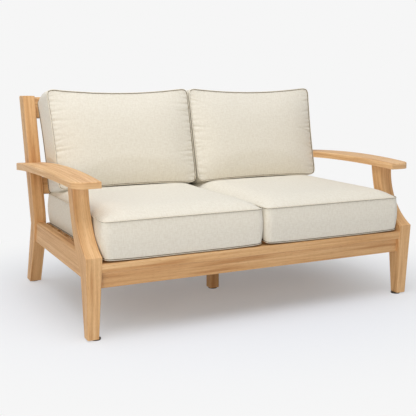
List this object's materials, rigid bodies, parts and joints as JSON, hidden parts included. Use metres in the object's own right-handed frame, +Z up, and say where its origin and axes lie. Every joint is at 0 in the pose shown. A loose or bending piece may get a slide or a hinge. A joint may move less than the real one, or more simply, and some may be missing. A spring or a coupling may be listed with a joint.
{
  "type": "patio loveseat",
  "caption": "Low timber outdoor loveseat with arched arms, swept front legs, a slatted back and loose piped cushions that slide out of the frame.",
  "frame": {"origin": "on the floor, in the middle of the footprint", "axes": "+X to the sitter's left along the length (right in the view from the front), +Y towards the back, +Z up; the front faces -Y"},
  "size_m": [1.5256, 0.9799, 0.8781],
  "materials": {
    "teak": "satin",
    "arm_teak": "satin",
    "cushion_fabric": "matte",
    "piping_fabric": "matte",
    "cushion_foam": "matte",
    "zip_plastic": "satin",
    "glide_plastic": "satin",
    "screw_steel": "satin"
  },
  "bodies": {
    "frame": {"arm_left": "arm_teak", "arm_right": "arm_teak", "arm_screws": "screw_steel", "back_lower_rail": "teak", "back_top_rail": "teak", "back_slat_1": "teak", "back_slat_2": "teak", "back_slat_3": "teak", "back_slat_4": "teak", "back_slat_5": "teak", "back_slat_6": "teak", "back_slat_7": "teak", "back_slat_8": "teak", "back_slat_9": "teak", "centre_leg": "teak", "centre_stretcher": "teak", "cleat_screws": "screw_steel", "corner_block_front_left": "teak", "corner_block_front_right": "teak", "corner_block_rear_left": "teak", "corner_block_rear_right": "teak", "foot_glides": "glide_plastic", "front_apron": "teak", "front_leg_left": "teak", "front_leg_right": "teak", "rear_post_left": "teak", "rear_post_right": "teak", "seat_front_rail": "teak", "seat_rear_rail": "teak", "seat_slat_1": "teak", "seat_slat_2": "teak", "seat_slat_3": "teak", "seat_slat_4": "teak", "seat_slat_5": "teak", "seat_slat_6": "teak", "seat_slat_7": "teak", "side_rail_left": "teak", "side_rail_right": "teak", "slat_cleat_left": "teak", "slat_cleat_right": "teak", "slat_screws": "screw_steel"},
    "seat_cushion_left": {"seat_cover_left": "cushion_fabric", "seat_core_left": "cushion_foam", "seat_piping_left": "piping_fabric", "seat_zip_left": "zip_plastic"},
    "seat_cushion_right": {"seat_cover_right": "cushion_fabric", "seat_core_right": "cushion_foam", "seat_piping_right": "piping_fabric", "seat_zip_right": "zip_plastic"},
    "back_cushion_left": {"back_cover_left": "cushion_fabric", "back_core_left": "cushion_foam", "back_piping_left": "piping_fabric", "back_zip_left": "zip_plastic"},
    "back_cushion_right": {"back_cover_right": "cushion_fabric", "back_core_right": "cushion_foam", "back_piping_right": "piping_fabric", "back_zip_right": "zip_plastic"}
  },
  "joints": [
    {"name": "seat_cushion_left_slide", "type": "slide", "parent": "frame", "child": "seat_cushion_left", "axis": [0, -1, 0], "range_m": [0, 0.8]},
    {"name": "back_cushion_left_lift", "type": "slide", "parent": "frame", "child": "back_cushion_left", "axis": [0, 0.2419, 0.9703], "range_m": [0, 0.45]},
    {"name": "seat_cushion_right_slide", "type": "slide", "parent": "frame", "child": "seat_cushion_right", "axis": [0, -1, 0], "range_m": [0, 0.8]},
    {"name": "back_cushion_right_lift", "type": "slide", "parent": "frame", "child": "back_cushion_right", "axis": [0, 0.2419, 0.9703], "range_m": [0, 0.45]}
  ]
}
